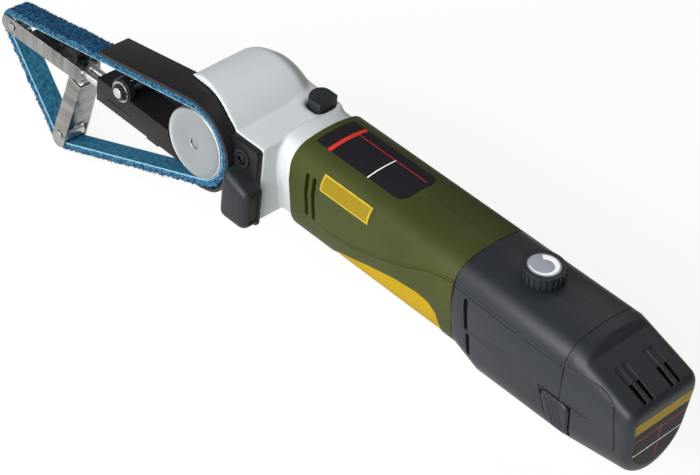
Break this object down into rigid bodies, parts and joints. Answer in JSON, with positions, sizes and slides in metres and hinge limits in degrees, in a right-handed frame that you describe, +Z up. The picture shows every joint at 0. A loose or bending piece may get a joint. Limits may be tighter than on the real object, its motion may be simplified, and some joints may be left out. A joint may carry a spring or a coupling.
{
  "type": "power file",
  "caption": "Cordless power file with a narrow fleece belt on a spring-loaded fork, bevel-driven pulley, paddle switch, speed knob and slide-out battery.",
  "frame": {"origin": "middle of the part's box on its base plane", "axes": "+X forward along the body to the fork's tip, +Y to the side that carries the belt, +Z up through the speed knob"},
  "size_m": [0.353, 0.061, 0.082],
  "materials": {
    "die_cast": "satin painted casting",
    "turned_aluminium": "turned",
    "steel": "ground",
    "stainless_sheet": "brushed",
    "black_steel": "blackened",
    "black_plastic": "fine grain",
    "green_plastic": "satin",
    "dark_plastic": "satin",
    "yellow_plastic": "gloss",
    "white_plastic": "plain",
    "board": "plain",
    "contact_brass": "bright",
    "cell": "wrapped",
    "fleece": "nonwoven abrasive"
  },
  "bodies": {
    "body": {"gear_head": "die_cast", "bearing_plate": "die_cast", "plate_screws": "black_steel", "arm_screws": "black_steel", "spindle_bearing_left": "steel", "spindle_bearing_right": "steel", "pinion_bearing": "steel", "motor_can": "steel", "motor_end_cap": "white_plastic", "belt_arm": "black_steel", "arm_pin": "steel", "pin_washer": "steel", "pin_circlip": "steel", "belt_guard": "black_steel", "abrasive_belt": "fleece", "tension_springs": "steel", "hand_guard": "black_plastic", "hand_guard_screw": "black_steel", "grip_left": "green_plastic", "grip_right": "green_plastic", "grip_screws": "black_steel", "rear_housing": "dark_plastic", "paddle_pin": "steel", "paddle_spring": "steel", "microswitch": "black_plastic", "lock_spring": "steel", "control_board": "board", "speed_control": "black_plastic", "battery_contacts": "contact_brass"},
    "drive": {"drive_pulley": "turned_aluminium", "spindle": "steel", "bevel_gear": "steel"},
    "rotor": {"motor_shaft": "steel", "bevel_pinion": "steel", "cooling_fan": "black_plastic"},
    "fork": {"guide_rods": "steel", "fork_upper": "stainless_sheet", "fork_lower": "stainless_sheet", "fork_block": "stainless_sheet", "fork_screw": "black_steel", "roller_pins": "steel"},
    "front_roller": {"upper_roller": "steel"},
    "leg_roller": {"lower_roller": "steel"},
    "paddle": {"paddle_switch": "yellow_plastic"},
    "lock": {"lock_button": "black_plastic"},
    "knob": {"speed_knob": "black_plastic", "knob_cap": "turned_aluminium"},
    "battery": {"battery_case": "dark_plastic", "battery_cells": "cell"},
    "left_latch": {"latch_left": "dark_plastic"},
    "right_latch": {"latch_right": "dark_plastic"}
  },
  "joints": [
    {"name": "pulley_spin", "type": "hinge", "parent": "body", "child": "drive", "pos_m": [0.04947, -0.0095, 0.05563], "axis": [0, 1, 0], "continuous": true},
    {"name": "motor_spin", "type": "hinge", "parent": "body", "child": "rotor", "pos_m": [0.01947, -0.0095, 0.05563], "axis": [1, 0, 0], "continuous": true},
    {"name": "tension_slide", "type": "slide", "parent": "body", "child": "fork", "axis": [1, 0, 0], "range_m": [-0.008, 0], "stiffness_N_per_m": 900, "springref_m": 0.012, "deforming": ["abrasive_belt", "tension_springs"]},
    {"name": "front_roller_spin", "type": "hinge", "parent": "fork", "child": "front_roller", "pos_m": [0.16883, 0.0191, 0.04643], "axis": [0, 1, 0], "continuous": true},
    {"name": "leg_roller_spin", "type": "hinge", "parent": "fork", "child": "leg_roller", "pos_m": [0.13485, 0.0191, 0.0077], "axis": [0, 1, 0], "continuous": true},
    {"name": "paddle_press", "type": "hinge", "parent": "body", "child": "paddle", "pos_m": [-0.01853, -0.0095, 0.03583], "axis": [0, 1, 0], "range_deg": [0, 2], "stiffness_Nm_per_rad": 2, "springref_deg": -2.86, "deforming": ["paddle_spring"]},
    {"name": "lock_press", "type": "slide", "parent": "body", "child": "lock", "axis": [0, 0, -1], "range_m": [0, 0.0025], "stiffness_N_per_m": 600, "springref_m": -0.002, "deforming": ["lock_spring"]},
    {"name": "speed_turn", "type": "hinge", "parent": "body", "child": "knob", "pos_m": [-0.11053, -0.0095, 0.07763], "axis": [0, 0, 1], "range_deg": [-135, 135]},
    {"name": "battery_slide", "type": "slide", "parent": "body", "child": "battery", "axis": [-1, 0, 0], "range_m": [0, 0.075]},
    {"name": "left_latch_press", "type": "slide", "parent": "battery", "child": "left_latch", "axis": [0, -1, 0], "range_m": [0, 0.0012], "stiffness_N_per_m": 900, "springref_m": -0.001},
    {"name": "right_latch_press", "type": "slide", "parent": "battery", "child": "right_latch", "axis": [0, 1, 0], "range_m": [0, 0.0012], "stiffness_N_per_m": 900, "springref_m": -0.001}
  ],
  "couplings": [
    {"joint": "motor_spin", "follows": "pulley_spin", "ratio": -2},
    {"joint": "front_roller_spin", "follows": "pulley_spin", "ratio": 4},
    {"joint": "leg_roller_spin", "follows": "pulley_spin", "ratio": 4}
  ]
}
